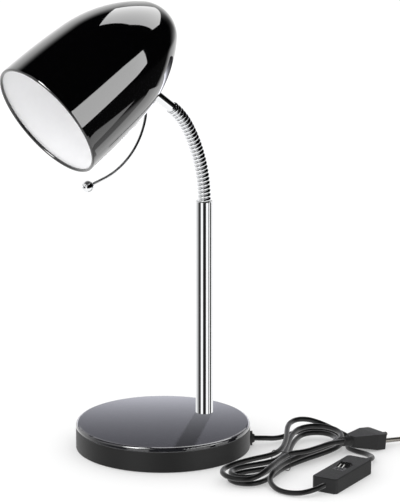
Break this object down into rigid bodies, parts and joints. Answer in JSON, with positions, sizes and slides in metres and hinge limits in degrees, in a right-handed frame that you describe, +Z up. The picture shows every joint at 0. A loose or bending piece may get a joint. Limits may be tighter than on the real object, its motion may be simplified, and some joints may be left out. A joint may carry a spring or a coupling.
{
  "type": "desk lamp",
  "caption": "Desk lamp with a round weighted base, chromed pole, bending gooseneck, bell-shaped metal shade with a wire handle, screw lampholder, and a coiled cord with rocker switch and plug.",
  "frame": {"origin": "centre of the base on the table", "axes": "+Z up, the head points to -Y, the pole stands at +Y, and X = 0 is the lamp's plane of symmetry"},
  "size_m": [0.2656, 0.3136, 0.3926],
  "materials": {
    "black_gloss_paint": "stoved gloss",
    "black_satin_plastic": "satin moulding",
    "black_cord_plastic": "matt moulding",
    "black_gloss_plastic": "polished",
    "holder_plastic": "matt moulding",
    "white_insulator": "matt",
    "chrome_plate": "bright plate",
    "zinc_steel": "zinc plated",
    "cast_iron": "as cast",
    "brass": "plain",
    "black_rubber": "matt",
    "cord_pvc": "matt",
    "wire_insulation": "matt"
  },
  "bodies": {
    "base": {"base_housing": "black_satin_plastic", "base_feet": "black_rubber", "base_screws": "zinc_steel", "ballast_weight": "cast_iron", "base_cover": "black_gloss_paint", "pole_tube": "chrome_plate", "pole_stud": "zinc_steel", "pole_washer": "zinc_steel", "pole_nut": "zinc_steel", "neck_bush": "zinc_steel", "pole_leads": "wire_insulation", "terminal_block": "white_insulator", "cord_grommet": "black_rubber", "cord_clamp": "black_cord_plastic", "cord_clamp_screws": "zinc_steel", "cord_tie": "black_gloss_plastic", "switch_lower": "black_cord_plastic", "switch_upper": "black_cord_plastic", "switch_contacts": "brass", "switch_screws": "zinc_steel", "plug_body": "black_cord_plastic", "plug_pins": "chrome_plate", "plug_relief": "black_cord_plastic", "cord_hank": "cord_pvc", "cord_return_loop": "cord_pvc", "cord_lead": "cord_pvc", "cord_front_run": "cord_pvc", "cord_rear_run": "cord_pvc", "cord_plug_run": "cord_pvc", "cord_tail": "cord_pvc"},
    "neck_1": {"neck_segment_1": "chrome_plate"},
    "neck_2": {"neck_segment_2": "chrome_plate"},
    "neck_3": {"neck_segment_3": "chrome_plate"},
    "neck_4": {"neck_segment_4": "chrome_plate"},
    "neck_5": {"neck_segment_5": "chrome_plate"},
    "neck_6": {"neck_segment_6": "chrome_plate"},
    "neck_7": {"neck_segment_7": "chrome_plate"},
    "neck_8": {"neck_segment_8": "chrome_plate"},
    "neck_9": {"neck_segment_9": "chrome_plate"},
    "head": {"neck_sleeve": "chrome_plate", "shade": "black_gloss_paint", "neck_saddle": "zinc_steel", "holder_bracket": "zinc_steel", "neck_washer": "zinc_steel", "neck_nut": "zinc_steel", "holder_cap": "holder_plastic", "holder_body": "holder_plastic", "holder_thread_shell": "brass", "holder_core": "white_insulator", "holder_contact": "brass", "holder_nipple": "zinc_steel", "holder_nipple_nut": "zinc_steel", "holder_leads": "wire_insulation", "handle_wire": "chrome_plate", "handle_ball": "chrome_plate", "handle_nut": "zinc_steel"},
    "rocker": {"switch_rocker": "black_cord_plastic"}
  },
  "joints": [
    {"name": "neck_bend_1", "type": "hinge", "parent": "base", "child": "neck_1", "pos_m": [0, 0.0445, 0.211], "axis": [1, 0, 0], "range_deg": [-10, 10]},
    {"name": "neck_sway_1", "type": "hinge", "parent": "neck_1", "child": "neck_2", "pos_m": [0, 0.04409, 0.22158], "axis": [0, 0.997, 0.0778], "range_deg": [-10, 10]},
    {"name": "neck_bend_2", "type": "hinge", "parent": "neck_2", "child": "neck_3", "pos_m": [0, 0.04285, 0.2321], "axis": [1, 0, 0], "range_deg": [-10, 10]},
    {"name": "neck_sway_2", "type": "hinge", "parent": "neck_3", "child": "neck_4", "pos_m": [0, 0.0408, 0.24249], "axis": [0, 0.9728, 0.2315], "range_deg": [-10, 10]},
    {"name": "neck_bend_3", "type": "hinge", "parent": "neck_4", "child": "neck_5", "pos_m": [0, 0.03795, 0.25269], "axis": [1, 0, 0], "range_deg": [-10, 10]},
    {"name": "neck_sway_3", "type": "hinge", "parent": "neck_5", "child": "neck_6", "pos_m": [0, 0.03432, 0.26264], "axis": [0, 0.9251, 0.3797], "range_deg": [-10, 10]},
    {"name": "neck_bend_4", "type": "hinge", "parent": "neck_6", "child": "neck_7", "pos_m": [0, 0.02992, 0.27227], "axis": [1, 0, 0], "range_deg": [-10, 10]},
    {"name": "neck_sway_4", "type": "hinge", "parent": "neck_7", "child": "neck_8", "pos_m": [0, 0.02475, 0.28151], "axis": [0, 0.8421, 0.5393], "range_deg": [-10, 10]},
    {"name": "neck_bend_5", "type": "hinge", "parent": "neck_8", "child": "neck_9", "pos_m": [0, 0.01833, 0.28992], "axis": [1, 0, 0], "range_deg": [-10, 10]},
    {"name": "neck_sway_5", "type": "hinge", "parent": "neck_9", "child": "head", "pos_m": [0, 0.01061, 0.29716], "axis": [0, 0.6211, 0.7837], "range_deg": [-10, 10]},
    {"name": "switch_rock", "type": "hinge", "parent": "base", "child": "rocker", "pos_m": [0.1682, 0.0621, 0.0094], "axis": [-0.9212, -0.3891, 0], "range_deg": [0, 18]}
  ]
}
